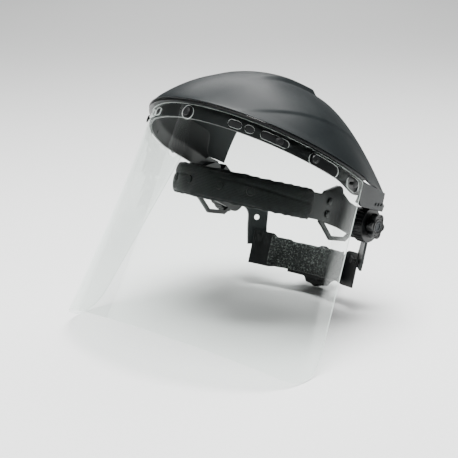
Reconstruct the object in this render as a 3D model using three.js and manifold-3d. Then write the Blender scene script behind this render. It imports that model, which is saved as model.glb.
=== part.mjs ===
// Face shield with a ratchet headgear, in millimetres. +Z is up, -Y is the wearer's front and
// +X the wearer's left. The shield stands on the two lower rear corners of its window and on the
// ratchet knob at the nape, with the crown tilted up a little from the headband.
import * as THREE from "three";
import { mergeVertices } from "three/addons/utils/BufferGeometryUtils.js";
import Module from "manifold-3d";

// Driving dimensions. The crown and the headgear each have a frame of their own: forward is -Y,
// up is +Z, and the frame is pitched nose up by the angle given.
const standShiftY = 78.7; // puts the middle of the whole shield's footprint on the origin
const crownPitch = 33.4;
const crownOrigin = [0, -28, 151]; // middle of the line between the window's top rear corners
const headgearPitch = 19;
const pivotOrigin = [0, 13, 97]; // on the tilt axis, half way between the two knobs
const layerGap = 0.35; // between stacked pieces

const windowHeight = 203;
const windowThickness = 1;
const windowCornerRadius = 33.7;
const windowTop = { halfWidth: 109.5, depth: 140.5, centreY: 0 };
const windowBottom = { halfWidth: 139.6, depth: 103.7, centreY: -8.5 };
const windowDrop = 201.3; // height of the window measured square to the rim

const shellThickness = 2.6;
const lipHeight = 3; // of the crown's lower lip above the window's top edge
const crownHalfWidth = 114;
const crownFront = 147;
const crownRear = { halfWidth: 100.5, low: 9.5, high: 80, back: 62, rake: 0.83 }; // of its rear edge
const crownSwell = 0.114; // of the crown's length from front to back
const ridgeHeight = 4.4;
const rimWall = 3;
const rimDrop = 12.2; // the rim's wall reaches this far below the window's top edge
const rimReach = 25; // and this far behind the rim's rear line
const rimTuck = 6.3; // the wall steps in by this much behind the window
const holeDrop = 7.2; // middle of the window's holes below its top edge

const bandHalfWidth = 79.5;
const bandDepth = 90.5;
const bandCentre = 60; // the headband's sides start to close this far ahead of the pivots
const bandThickness = 2.2;
const sweatEnd = 81; // the sweatband stops this far ahead of the pivots
const sweatLow = -9.2;
const sweatHigh = 24.2;

const strapHalfWidth = 78.5;
const strapDepth = 45;
const strapCentre = -8; // the straps start to close this far behind the pivots
const napeHigh = -30;
const napeLow = -66;
const napeMiddle = (napeHigh + napeLow) / 2;
const ratchetHeight = -54;
const ratchetRadius = 22;
const ratchetBack = 77; // outer face of the ratchet knob behind the pivots

// Places along the tilt axis, outwards from the bracket.
const bracketX = [74.5, 77.9];
const armX = [78.3, 80.9];
const washerX = [81.25, 82.45];
const hubX = [82.8, 93.4];
const knobX = [93.8, 101.8];
const boltRadius = 3;
const hubRadius = 17;

// The tilt axis as the crown's frame sees it.
function pivotSeenFromCrown() {
  const pitch = THREE.MathUtils.degToRad(crownPitch);
  const dy = pivotOrigin[1] - crownOrigin[1];
  const dz = pivotOrigin[2] - crownOrigin[2];
  return {
    forward: -Math.cos(pitch) * dy + Math.sin(pitch) * dz,
    up: Math.sin(pitch) * dy + Math.cos(pitch) * dz,
  };
}
const pivotInCrown = pivotSeenFromCrown();

const wasm = await Module();
wasm.setup();

// The closed solid that a geometry bounds, turned the right way out if a mirror turned it.
function solid(geometry) {
  const bare = geometry.index ? geometry.toNonIndexed() : geometry.clone();
  bare.deleteAttribute("normal");
  bare.deleteAttribute("uv");
  const merged = mergeVertices(bare, 1e-4);
  const corners = new Uint32Array(merged.index.array);
  const make = () =>
    new wasm.Manifold(
      new wasm.Mesh({ numProp: 3, vertProperties: merged.attributes.position.array, triVerts: corners }),
    );
  const body = make();
  if (body.volume() > 0) return body;
  for (let i = 0; i < corners.length; i += 3) {
    [corners[i + 1], corners[i + 2]] = [corners[i + 2], corners[i + 1]];
  }
  return make();
}

function geometryOf(body) {
  const mesh = body.getMesh();
  const geometry = new THREE.BufferGeometry();
  geometry.setAttribute("position", new THREE.BufferAttribute(mesh.vertProperties, 3));
  geometry.setIndex(new THREE.BufferAttribute(mesh.triVerts, 1));
  return geometry;
}

function joined(bodies) {
  return bodies.reduce((all, body) => all.add(body));
}

function cut(body, cutters) {
  return cutters.reduce((left, cutter) => left.subtract(cutter), body);
}

// A slab whose two faces are divided into nu by nv, each point (u, v, w) from 0 to 1 put in place.
function bent(nu, nv, place) {
  const geometry = new THREE.BoxGeometry(1, 1, 1, nu, nv, 1);
  return moved(geometry, (x, y, z) => place(x + 0.5, y + 0.5, z + 0.5));
}

function moved(geometry, place) {
  const position = geometry.attributes.position;
  for (let i = 0; i < position.count; i += 1) {
    const point = place(position.getX(i), position.getY(i), position.getZ(i));
    position.setXYZ(i, point[0], point[1], point[2]);
  }
  return geometry;
}

// Half an ellipse in plan, walked by its length s from the middle of its closed end, which faces
// the way of sign: -1 to the front, +1 to the back. Past its ends it runs on straight.
function bow(halfWidth, depth, centreY, sign = -1) {
  const steps = 600;
  const lengths = [0];
  for (let i = 1; i <= steps; i += 1) {
    const a = ((i - 1) / steps) * (Math.PI / 2);
    const b = (i / steps) * (Math.PI / 2);
    const dx = halfWidth * (Math.sin(b) - Math.sin(a));
    const dy = depth * (Math.cos(b) - Math.cos(a));
    lengths.push(lengths[i - 1] + Math.hypot(dx, dy));
  }
  const half = lengths[steps];
  return {
    half,
    at(s) {
      const distance = Math.abs(s);
      const side = s < 0 ? -1 : 1;
      if (distance >= half) {
        return { x: side * halfWidth, y: centreY - sign * (distance - half), nx: side, ny: 0 };
      }
      let i = 1;
      while (lengths[i] < distance) i += 1;
      const part = (distance - lengths[i - 1]) / (lengths[i] - lengths[i - 1]);
      const angle = ((i - 1 + part) / steps) * (Math.PI / 2);
      const nx = Math.sin(angle) / halfWidth;
      const ny = Math.cos(angle) / depth;
      const size = Math.hypot(nx, ny);
      return {
        x: side * halfWidth * Math.sin(angle),
        y: centreY + sign * depth * Math.cos(angle),
        nx: (side * nx) / size,
        ny: (sign * ny) / size,
      };
    },
  };
}

// A band along a bow: from s0 to s1, between the heights low(s) and high(s), and between the
// offsets inner and outer from the bow.
function band(path, s0, s1, low, high, inner, outer, nu, nv = 1) {
  const lowAt = typeof low === "function" ? low : () => low;
  const highAt = typeof high === "function" ? high : () => high;
  return bent(nu, nv, (u, v, w) => {
    const s = s0 + (s1 - s0) * u;
    const at = path.at(s);
    const offset = inner + (outer - inner) * w;
    const z = lowAt(s) + (highAt(s) - lowAt(s)) * v;
    return [at.x + at.nx * offset, at.y + at.ny * offset, z];
  });
}

function outline(points) {
  return new THREE.Shape(points.map(([x, y]) => new THREE.Vector2(x, y)));
}

// An outline drawn from the side, as [forward, up], and given its width from x0 to x1.
function sidePlate(shape, x0, x1, curveSegments = 8) {
  const geometry = new THREE.ExtrudeGeometry(shape, {
    depth: x1 - x0,
    bevelEnabled: false,
    curveSegments,
  });
  return moved(geometry, (forward, up, depth) => [x0 + depth, -forward, up]);
}

// A cylinder lying along X between x0 and x1, centred at [forward, up].
function barX(radius, x0, x1, [forward, up] = [0, 0], sides = 20) {
  const geometry = new THREE.CylinderGeometry(radius, radius, x1 - x0, sides);
  geometry.rotateZ(Math.PI / 2);
  geometry.translate((x0 + x1) / 2, -forward, up);
  return geometry;
}

// A cylinder lying along Y between y0 and y1, centred at [x, z].
function barY(radius, y0, y1, [x, z] = [0, 0], sides = 20) {
  const geometry = new THREE.CylinderGeometry(radius, radius, y1 - y0, sides);
  geometry.translate(0, (y0 + y1) / 2, 0);
  geometry.translate(x, 0, z);
  return geometry;
}

function capsule(length, height, segments = 4) {
  const r = height / 2;
  const reach = Math.max(length / 2 - r, 0.001);
  const shape = new THREE.Shape();
  shape.absarc(reach, 0, r, -Math.PI / 2, Math.PI / 2, false);
  shape.absarc(-reach, 0, r, Math.PI / 2, (3 * Math.PI) / 2, false);
  return new THREE.ExtrudeGeometry(shape, { depth: 1, bevelEnabled: false, curveSegments: segments });
}

// A straight flat bar between two points of the side view.
function link([f0, h0], [f1, h1], width, x0, x1) {
  const angle = Math.atan2(h1 - h0, f1 - f0);
  const sx = (-Math.sin(angle) * width) / 2;
  const sy = (Math.cos(angle) * width) / 2;
  const shape = outline([
    [f0 - sx, h0 - sy],
    [f1 - sx, h1 - sy],
    [f1 + sx, h1 + sy],
    [f0 + sx, h0 + sy],
  ]);
  return solid(sidePlate(shape, x0, x1));
}

const materials = {
  crown: new THREE.MeshStandardMaterial({ color: 0x23282a, roughness: 0.5 }),
  ear: new THREE.MeshStandardMaterial({ color: 0x3a3f42, roughness: 0.5 }),
  frame: new THREE.MeshStandardMaterial({ color: 0x1c1f20, roughness: 0.55 }),
  clear: new THREE.MeshStandardMaterial({ color: 0xeef3f5, roughness: 0.05, opacity: 0.25, transparent: true }),
  band: new THREE.MeshStandardMaterial({ color: 0x1a1c1d, roughness: 0.6 }),
  cloth: new THREE.MeshStandardMaterial({ color: 0x121414, roughness: 0.95 }),
  pad: new THREE.MeshStandardMaterial({ color: 0x2d3030, roughness: 1 }),
  metal: new THREE.MeshStandardMaterial({ color: 0x8d9194, roughness: 0.35, metalness: 1 }),
};

const shield = new THREE.Group();
shield.position.y = standShiftY;
const crown = new THREE.Group();
crown.position.set(...crownOrigin);
crown.rotation.x = THREE.MathUtils.degToRad(-crownPitch);
const headgear = new THREE.Group();
headgear.position.set(...pivotOrigin);
headgear.rotation.x = THREE.MathUtils.degToRad(-headgearPitch);
shield.add(crown, headgear);

function addPiece(group, name, body, material) {
  const mesh = new THREE.Mesh(geometryOf(body), material);
  mesh.name = name;
  group.add(mesh);
}

// The right-hand piece is the left-hand one mirrored.
function addPair(group, name, body, material) {
  addPiece(group, name + "_left", body, material);
  addPiece(group, name + "_right", body.mirror([1, 0, 0]), material);
}

// ---- window ----

const topBow = bow(windowTop.halfWidth, windowTop.depth, windowTop.centreY);
const bottomBow = bow(windowBottom.halfWidth, windowBottom.depth, windowBottom.centreY);

// A point of the bent window: s along it from the middle, d down it, and offset outwards.
function windowPoint(s, d, offset) {
  const share = s / topBow.half;
  const top = topBow.at(s);
  const bottom = bottomBow.at(share * bottomBow.half);
  const t = d / windowHeight;
  const nx = top.nx * (1 - t) + bottom.nx * t;
  const ny = top.ny * (1 - t) + bottom.ny * t;
  return [
    top.x * (1 - t) + bottom.x * t + nx * offset,
    top.y * (1 - t) + bottom.y * t + ny * offset,
    -windowDrop * t,
  ];
}

function windowCutter(geometry, s, d) {
  return solid(moved(geometry, (x, y, z) => windowPoint(s + x, d + y, (z - 0.5) * 9)));
}

const windowSlots = [
  { s: 48, d: holeDrop, length: 13, height: 7 },
  { s: 61.6, d: holeDrop, length: 9, height: 7 },
  { s: 86, d: holeDrop, length: 28, height: 7.6 },
  { s: 140, d: holeDrop + 0.8, length: 36, height: 11.4 },
  { s: 182, d: holeDrop + 1.4, length: 19, height: 13 },
];
const studPlaces = [0, 90, 128, 183];

function makeWindow() {
  const edge = topBow.half;
  let sheet = solid(
    bent(44, 3, (u, v, w) =>
      windowPoint((2 * u - 1) * edge, v * windowHeight, (w - 0.5) * windowThickness),
    ),
  );
  const cutters = [windowCutter(capsule(12.6, 12.6), 0, holeDrop + 0.3)];
  for (const side of [-1, 1]) {
    for (const slot of windowSlots) {
      cutters.push(windowCutter(capsule(slot.length, slot.height), side * slot.s, slot.d));
    }
    const r = windowCornerRadius;
    const corner = new THREE.Shape();
    corner.moveTo(side * r, 0);
    corner.absarc(0, 0, r, side > 0 ? 0 : Math.PI, Math.PI / 2, side < 0);
    corner.lineTo(0, r + 9);
    corner.lineTo(side * (r + 9), r + 9);
    corner.lineTo(side * (r + 9), 0);
    const geometry = new THREE.ExtrudeGeometry(corner, { depth: 1, bevelEnabled: false, curveSegments: 8 });
    cutters.push(windowCutter(geometry, side * (edge - r), windowHeight - r));
  }
  sheet = cut(sheet, cutters);
  return sheet;
}
addPiece(crown, "window", makeWindow(), materials.clear);

// ---- crown shell ----

function smooth(low, high, value) {
  return THREE.MathUtils.smoothstep(value, low, high);
}

// A point of the crown's outer face as [x, forward, up]: across from -1 to 1, over from the lip at
// 0 to the raked rear edge at 1. Each line from lip to rear edge swells outwards between its ends.
function crownFace(across, over) {
  const angle = (across * Math.PI) / 2;
  const c = Math.max(Math.cos(angle), 0);
  const s = Math.sin(0.7 * angle) / Math.sin(0.35 * Math.PI);
  const rearUp = crownRear.high - (crownRear.high - crownRear.low) * Math.pow(Math.abs(s), 2.25);
  const lip = new THREE.Vector3(crownHalfWidth * Math.sin(angle), crownFront * c, lipHeight);
  const rear = new THREE.Vector3(crownRear.halfWidth * s, crownRear.rake * rearUp - crownRear.back, rearUp);
  const out = new THREE.Vector3(0.9 * Math.sin(angle), 0.48 * c, 0.88 * c + 0.12).normalize();
  const swell = crownSwell * lip.distanceTo(rear) * Math.sin(Math.PI * Math.pow(over, 0.88)) * Math.pow(c, 0.8);
  const point = lip.lerp(rear, over).addScaledVector(out, swell);
  const ridge = ridgeHeight * smooth(26, 19, Math.abs(point.x)) * smooth(0.36, 0.48, over);
  return point.addScaledVector(out, ridge);
}

// The same point moved in by inset, square to the face, and kept off the rim below it.
function crownPoint(across, over, inset) {
  const step = 0.01;
  const u0 = Math.max(across - step, -1);
  const u1 = Math.min(across + step, 1);
  const v0 = Math.max(over - step, 0);
  const v1 = Math.min(over + step, 1);
  const alongU = crownFace(u1, over).sub(crownFace(u0, over));
  const alongV = crownFace(across, v1).sub(crownFace(across, v0));
  const normal = alongU.cross(alongV).normalize();
  const point = crownFace(across, over);
  const outward = normal.x * point.x + normal.y * (point.y + 10) + normal.z * point.z > 0 ? 1 : -1;
  point.addScaledVector(normal, -inset * outward);
  return [point.x, -point.y, Math.max(point.z, lipHeight)];
}

addPiece(
  crown,
  "crown_shell",
  solid(bent(34, 12, (u, v, w) => crownPoint(2 * u - 1, v, (1 - w) * shellThickness))),
  materials.crown,
);

// ---- rim frame ----

// The rim is an upright wall inside the window's top edge, with a shelf over that edge.
function makeRim() {
  const s1 = topBow.half + rimReach;
  const outer = -windowThickness / 2 - layerGap;
  const rear = topBow.half;
  const top = (s) => 0.4 + 21 * smooth(rear - 110, rear - 70, Math.abs(s));
  const low = (s) => -rimDrop + 10 * Math.pow(smooth(rear, s1, Math.abs(s)), 2);
  const wall = solid(
    bent(52, 3, (u, v, w) => {
      const s = (2 * u - 1) * s1;
      const z = low(s) + (top(s) - low(s)) * v;
      const tucked = smooth(rear - 10, rear + 4, Math.abs(s)) * (rimTuck + 0.17 * Math.max(-z, 0));
      const tuck = tucked + 0.6 * Math.max(z - 1, 0);
      return windowPoint(s, (-z * windowHeight) / windowDrop, outer - tuck - rimWall * w);
    }),
  );
  const shelfEnd = topBow.half - 4;
  const shelf = solid(
    band(topBow, -shelfEnd, shelfEnd, -0.4 + layerGap + 0.35, lipHeight - layerGap, outer - rimWall, 4.6, 44),
  );
  const cutters = [];
  for (const s of studPlaces) {
    for (const side of s ? [-1, 1] : [1]) {
      cutters.push(studAt(side * s, barY(2.05, -6, 6, [0, 0], 12)));
    }
  }
  return cut(wall.add(shelf), cutters);
}

// Puts a geometry made about the Y axis on the rim, with -Y pointing out of the window at s.
function studAt(s, geometry) {
  const at = windowPoint(s, holeDrop + 0.3, 0);
  const place = topBow.at(s);
  const turn = Math.atan2(place.nx, -place.ny);
  geometry.rotateZ(turn);
  geometry.translate(at[0], at[1], at[2]);
  return solid(geometry);
}

addPiece(crown, "rim_frame", makeRim(), materials.frame);

function makeStud(s) {
  const stem = studAt(s, barY(1.75, -1.4, 4.4, [0, 0], 12));
  const cap = studAt(s, barY(4.6, -2.9, -1.2, [0, 0], 14));
  return stem.add(cap);
}
addPiece(crown, "window_stud_front", makeStud(0), materials.frame);
studPlaces.slice(1).forEach((s, i) => {
  addPiece(crown, "window_stud_left_" + (i + 1), makeStud(s), materials.frame);
  addPiece(crown, "window_stud_right_" + (i + 1), makeStud(-s), materials.frame);
});

// ---- ears ----

const earX = [102.9, 105.5];

function makeEar() {
  const shape = new THREE.Shape();
  shape.moveTo(-4.5, 2.4);
  shape.lineTo(-8, -8.5);
  shape.quadraticCurveTo(-11, -19, -20, -18);
  shape.lineTo(-36, -14);
  shape.lineTo(-50, -10.4);
  shape.quadraticCurveTo(-53.5, -9, -53, -5);
  shape.lineTo(-49.5, 7.6);
  const plate = solid(sidePlate(shape, ...earX));
  const web = outline([
    [-59, -8.4],
    [-59, -2],
    [-40, 3],
    [-38, -10],
    [-50, -8.4],
  ]);
  const pivot = [pivotInCrown.forward, pivotInCrown.up];
  const body = joined([
    plate,
    solid(sidePlate(web, hubX[0] + 1, earX[0] + 0.6)),
    solid(barX(hubRadius, ...hubX, pivot, 26)),
  ]);
  const cutters = [solid(barX(boltRadius + 0.4, hubX[0] - 1, hubX[1] + 1, pivot, 14))];
  for (const k of [0, 1, 2]) {
    const slit = outline([
      [-38 - 5 * k, -9.5 + 1.6 * k],
      [-41 - 5 * k, -8.6 + 1.6 * k],
      [-41 - 5 * k, -5.6 + 1.6 * k],
      [-38 - 5 * k, -6.5 + 1.6 * k],
    ]);
    cutters.push(solid(sidePlate(slit, earX[1] - 1, earX[1] + 1)));
  }
  return cut(body, cutters);
}
addPair(crown, "ear", makeEar(), materials.ear);

// ---- tilt knobs and their bolts ----

function starShape(lobes, radius, depth) {
  const shape = new THREE.Shape();
  const steps = lobes * 6;
  for (let i = 0; i <= steps; i += 1) {
    const angle = (i / steps) * 2 * Math.PI;
    const r = radius - depth * (0.5 - 0.5 * Math.cos(lobes * angle));
    if (i === 0) shape.moveTo(r, 0);
    else if (i < steps) shape.lineTo(r * Math.cos(angle), r * Math.sin(angle));
  }
  return shape;
}

const nutRecess = 2;
const knobBody = cut(
  joined([
    solid(sidePlate(starShape(6, 13.4, 3.2), knobX[0] + 2, knobX[1])),
    solid(barX(9, knobX[0], knobX[0] + 3)),
  ]),
  [
    solid(barX(boltRadius + 0.3, knobX[0] - 1, knobX[1] + 1, [0, 0], 14)),
    solid(barX(5.6, knobX[1] - nutRecess, knobX[1] + 1, [0, 0], 16)),
  ],
);
addPair(headgear, "tilt_knob", knobBody, materials.frame);

const nutBody = solid(barX(5.2, knobX[1] - nutRecess + layerGap, knobX[1] - 0.1, [0, 0], 16)).subtract(
  solid(barX(boltRadius + 0.25, 0, 2 * knobX[1], [0, 0], 14)),
);
addPair(headgear, "knob_nut", nutBody, materials.metal);

const boltBody = joined([
  solid(barX(boltRadius, bracketX[0] - 1, knobX[1] - 0.6, [0, 0], 14)),
  solid(barX(6.5, bracketX[0] - 3.2, bracketX[0] - layerGap, [0, 0], 16)),
]);
addPair(headgear, "pivot_bolt", boltBody, materials.metal);

const washerBody = solid(barX(13, ...washerX)).subtract(
  solid(barX(boltRadius + 0.4, washerX[0] - 1, washerX[1] + 1, [0, 0], 14)),
);
addPair(headgear, "friction_washer", washerBody, materials.band);

// ---- side brackets ----

function makeBracket() {
  const shape = new THREE.Shape();
  shape.moveTo(66, -5.5);
  shape.lineTo(66, 22.5);
  shape.lineTo(45, 30.5);
  shape.quadraticCurveTo(38, 31, 36, 25);
  shape.lineTo(22, 18);
  shape.lineTo(6, 14.6);
  shape.absarc(0, 0, 15.5, 1.2, 2 * Math.PI - 1.0, false);
  shape.lineTo(30, -9);
  const plate = solid(sidePlate(shape, ...bracketX, 16));
  const bars = [
    [[64, -5], [57, -9]],
    [[57.5, -8.6], [40, -20]],
    [[41, -20], [15, -18.5]],
    [[15.5, -19.2], [5, -11]],
  ].map(([from, to]) => link(from, to, 4, bracketX[0], bracketX[1] - 0.6));
  return cut(joined([plate, ...bars]), [
    solid(barX(boltRadius + 0.4, bracketX[0] - 1, bracketX[1] + 1, [0, 0], 14)),
    solid(barX(2.4, bracketX[0] - 1, bracketX[1] + 1, [60.5, 14], 12)),
    solid(barX(2.4, bracketX[0] - 1, bracketX[1] + 1, [60.5, 2], 12)),
  ]);
}
addPair(headgear, "side_bracket", makeBracket(), materials.band);

// ---- headband and sweatband ----

const bandBow = bow(bandHalfWidth, bandDepth, -bandCentre);
const bandStraight = 6.5;

function makeHeadband() {
  const s1 = bandBow.half + bandStraight;
  const wide = bandBow.half - (sweatEnd - bandCentre) + 9;
  const low = (s) => (Math.abs(s) > wide ? -5.2 : -4.8);
  const high = (s) => 19.6 + 3.6 * smooth(wide - 1, wide + 3, Math.abs(s));
  const half = bandThickness / 2;
  const body = solid(band(bandBow, -s1, s1, low, high, -half, half, 40, 1));
  const cutters = [];
  for (const side of [-1, 1]) {
    for (const h of [2, 14]) {
      const hole = barX(2.2, bandHalfWidth - 6, bandHalfWidth + 6, [60.5, h], 12);
      hole.scale(side, 1, 1);
      cutters.push(solid(hole));
    }
  }
  return cut(body, cutters);
}
addPiece(headgear, "headband", makeHeadband(), materials.band);

const rivetBody = (h) =>
  joined([
    solid(barX(1.8, bracketX[0] - 1, bandHalfWidth + 2, [60.5, h], 12)),
    solid(barX(3.6, bandHalfWidth + bandThickness / 2 + layerGap, bandHalfWidth + 2.6, [60.5, h], 12)),
    solid(barX(3.6, bracketX[0] - 1.6, bracketX[0] - layerGap, [60.5, h], 12)),
  ]);
addPair(headgear, "upper_rivet", rivetBody(14), materials.band);
addPair(headgear, "lower_rivet", rivetBody(2), materials.band);

function makeSweatband() {
  const s1 = bandBow.half - (sweatEnd - bandCentre);
  const sleeve = solid(band(bandBow, -s1, s1, sweatLow, sweatHigh, -6.5, 2.8, 36, 1));
  const pocket = solid(band(bandBow, -s1 - 4, s1 + 4, -5.4, 20.2, -2, 2, 36, 1));
  return sleeve.subtract(pocket);
}
addPiece(headgear, "sweatband", makeSweatband(), materials.cloth);

function snapAt(s) {
  const at = bandBow.at(s);
  const geometry = barY(4, -1, 0, [0, 0], 14);
  geometry.rotateZ(Math.atan2(at.nx, -at.ny));
  const offset = 2.8 + layerGap;
  geometry.translate(at.x + at.nx * offset, at.y + at.ny * offset, 7.5);
  return solid(geometry);
}
for (const [name, s] of [["front", 18], ["side", 47]]) {
  addPair(headgear, "sweatband_snap_" + name, snapAt(s), materials.band);
}

// ---- nape arms ----

const strapBow = bow(strapHalfWidth, strapDepth, -strapCentre, 1);
const armCentre = -13; // the arms start to close this far behind the pivots
const armBow = bow((armX[0] + armX[1]) / 2, 48, -armCentre, 1);
const pinPlace = { back: 45, up: -38 };

// Puts a geometry made about the Y axis on the left nape pin, with +Y pointing outwards and the
// arm's middle at 0.
function onPin(geometry) {
  const place = armBow.at(armBow.half - (pinPlace.back + armCentre));
  geometry.rotateZ(Math.atan2(-place.nx, place.ny));
  geometry.translate(place.x, place.y, pinPlace.up);
  return solid(geometry);
}

// A point of the arm's blank, [back, up] from the pivot, bent round towards the nape.
function armPoint(back, up, w) {
  const at = armBow.at(armBow.half - (back + armCentre));
  const offset = (w - 0.5) * (armX[1] - armX[0]);
  return [at.x + at.nx * offset, at.y + at.ny * offset, up];
}

function makeArm() {
  const line = new THREE.SplineCurve(
    [
      [-9, 1],
      [11, 4],
      [28, 2],
      [38, -9],
      [41, -26],
      [45, -45],
    ].map(([x, y]) => new THREE.Vector2(x, y)),
  );
  const width = (u) => 25 - 4 * smooth(0.3, 0.8, u);
  const blade = solid(
    bent(16, 2, (u, v, w) => {
      const at = line.getPoint(u);
      const along = line.getTangent(u);
      const side = (v - 0.5) * width(u);
      return armPoint(at.x - along.y * side, at.y + along.x * side, w);
    }),
  );
  const hole = (r, back, up) =>
    solid(moved(barX(r, -6, 6, [0, 0], 12), (x, y, z) => armPoint(back + y, up + z, 0.5 + x / 2.6)));
  const hub = solid(barX(14.5, ...armX, [0, 0], 22));
  return cut(blade.add(hub), [
    solid(barX(boltRadius + 0.4, armX[0] - 1, armX[1] + 1, [0, 0], 14)),
    hole(3, 38.5, -17),
    onPin(barY(2.5, -12, 8, [0, 0], 12)),
  ]);
}
addPair(headgear, "nape_arm", makeArm(), materials.ear);

// ---- nape straps, pins and pad ----

const strapEnd = strapBow.half - 28;
const strapLap = 24; // each strap runs this far past the middle
const rackHalfHeight = 8.5;

function makeStrap(inner, outer) {
  const grow = (s) => smooth(31, 50, s);
  const low = (s) => ratchetHeight - rackHalfHeight + (napeLow - ratchetHeight + rackHalfHeight) * grow(s);
  const high = (s) => ratchetHeight + rackHalfHeight + (napeHigh - ratchetHeight - rackHalfHeight) * grow(s);
  const body = solid(band(strapBow, -strapLap, strapEnd, low, high, inner, outer, 22, 1));
  const slot = moved(capsule(2 * strapLap + 4, 9, 3), (x, y, z) => {
    const at = strapBow.at(x + 5);
    const offset = (z - 0.5) * 12;
    return [at.x + at.nx * offset, at.y + at.ny * offset, ratchetHeight + y];
  });
  return cut(body, [solid(slot), onPin(barY(2.9, -14, 8, [0, 0], 12))]);
}
addPiece(headgear, "nape_strap_left", makeStrap(0.2, 1.7), materials.band);
addPiece(headgear, "nape_strap_right", makeStrap(-1.7, -0.2).mirror([1, 0, 0]), materials.band);

const pinBody = joined([
  onPin(barY(2.1, -9.4, 2.2, [0, 0], 12)),
  onPin(barY(4, 1.8, 3, [0, 0], 14)),
  onPin(barY(4, -10.4, -9.2, [0, 0], 14)),
]);
addPair(headgear, "nape_pin", pinBody, materials.band);

const padHalf = 52;
addPiece(
  headgear,
  "nape_pad",
  solid(band(strapBow, -padHalf, padHalf, napeLow, napeHigh, -9, -4, 16, 1)),
  materials.pad,
);

// ---- ratchet ----

// Offsets from the strap bow of the housing's inner and outer faces.
const housingInner = -3.6;
const housingOuter = 6.5;
const housingHalf = 25;
const housingLow = -66.5;
const housingHigh = -40;
const chamberRadius = 9.5;
const knobDeep = 12;
const strapMiddleY = strapDepth - strapCentre;

function makeHousing() {
  const block = solid(
    band(strapBow, -housingHalf, housingHalf, housingLow, housingHigh, housingInner, housingOuter, 10),
  );
  const strapWay = solid(
    band(
      strapBow,
      -housingHalf - 5,
      housingHalf + 5,
      ratchetHeight - rackHalfHeight - 0.6,
      ratchetHeight + rackHalfHeight + 0.6,
      -2.2,
      2.2,
      10,
    ),
  );
  const chamber = solid(
    barY(chamberRadius, strapMiddleY - 1, strapMiddleY + housingOuter + 2, [0, ratchetHeight]),
  );
  return cut(block, [strapWay, chamber]);
}
addPiece(headgear, "ratchet_housing", makeHousing(), materials.frame);

// The knob, its ratchet wheel and the pinion that drives both racks turn together.
const wheelY = [strapMiddleY + 3.2, strapMiddleY + housingOuter - 0.4];

function gearY(teeth, radius, toothDepth, y0, y1) {
  const shape = new THREE.Shape();
  const steps = teeth * 2;
  for (let i = 0; i < steps; i += 1) {
    const angle = (i / steps) * 2 * Math.PI;
    const r = radius - (i % 2) * toothDepth;
    if (i === 0) shape.moveTo(r, 0);
    else shape.lineTo(r * Math.cos(angle), r * Math.sin(angle));
  }
  const geometry = new THREE.ExtrudeGeometry(shape, { depth: y1 - y0, bevelEnabled: false });
  const bore = solid(barY(1.5, y0 - 1, y1 + 1, [0, ratchetHeight], 10));
  return solid(moved(geometry, (x, y, z) => [x, y0 + z, ratchetHeight + y])).subtract(bore);
}

const pinion = gearY(10, 4.1, 1, strapMiddleY - 1.9, strapMiddleY + 2.2);
addPiece(headgear, "ratchet_pinion", pinion, materials.band);
addPiece(headgear, "ratchet_wheel", gearY(16, 7, 1.4, ...wheelY), materials.band);

// A strip of spring steel bent round the wheel, whose end rides over the teeth.
function makePawl() {
  const steps = 10;
  const arc = (r, from, to) =>
    Array.from({ length: steps + 1 }, (_, i) => {
      const angle = from + ((to - from) * i) / steps;
      return [r * Math.cos(angle), r * Math.sin(angle)];
    });
  const shape = outline([...arc(9.1, 0.3, 2.7), ...arc(8, 2.7, 0.3)]);
  const geometry = new THREE.ExtrudeGeometry(shape, { depth: 1, bevelEnabled: false });
  return solid(moved(geometry, (x, y, z) => [x, wheelY[0] + 0.6 + z, ratchetHeight + y]));
}
addPiece(headgear, "pawl_spring", makePawl(), materials.metal);

const coverY = [strapMiddleY + housingOuter + layerGap, ratchetBack - knobDeep - layerGap];

function makeCover() {
  const disc = barY(16, ...coverY, [0, ratchetHeight], 24);
  return solid(disc).subtract(solid(barY(4, coverY[0] - 1, coverY[1] + 1, [0, ratchetHeight], 12)));
}
addPiece(headgear, "ratchet_cover", makeCover(), materials.frame);

function makeRatchetKnob() {
  const grips = starShape(12, ratchetRadius, 1.6);
  const rim = new THREE.ExtrudeGeometry(grips, { depth: knobDeep, bevelEnabled: false });
  const body = solid(moved(rim, (x, y, z) => [x, ratchetBack - knobDeep + z, ratchetHeight + y]));
  const dish = solid(barY(15, ratchetBack - 3, ratchetBack + 1, [0, ratchetHeight], 24));
  const bore = solid(barY(1.5, ratchetBack - knobDeep - 1, ratchetBack, [0, ratchetHeight], 10));
  return cut(body, [dish, bore]);
}
addPiece(headgear, "ratchet_knob", makeRatchetKnob(), materials.frame);

const screwBody = joined([
  solid(barY(1.2, strapMiddleY - 1.6, ratchetBack - 2, [0, ratchetHeight], 10)),
  solid(barY(3.2, ratchetBack - 2.65, ratchetBack - 0.8, [0, ratchetHeight], 16)),
]);
addPiece(headgear, "knob_screw", screwBody, materials.metal);

export default shield;
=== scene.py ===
"""Face shield: finished surfaces, soft goods, floor, lights and camera round the packed model.

Lengths inside the piece functions are millimetres in the crown's or the headgear's own frame,
as x, -forward and up. in_crown() and in_headgear() turn them to metres in the shared frame.
"""
import math

import bmesh
import bpy
import numpy as np
from bpy.props import FloatProperty, FloatVectorProperty, PointerProperty, StringProperty
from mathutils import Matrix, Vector, geometry, kdtree


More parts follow.
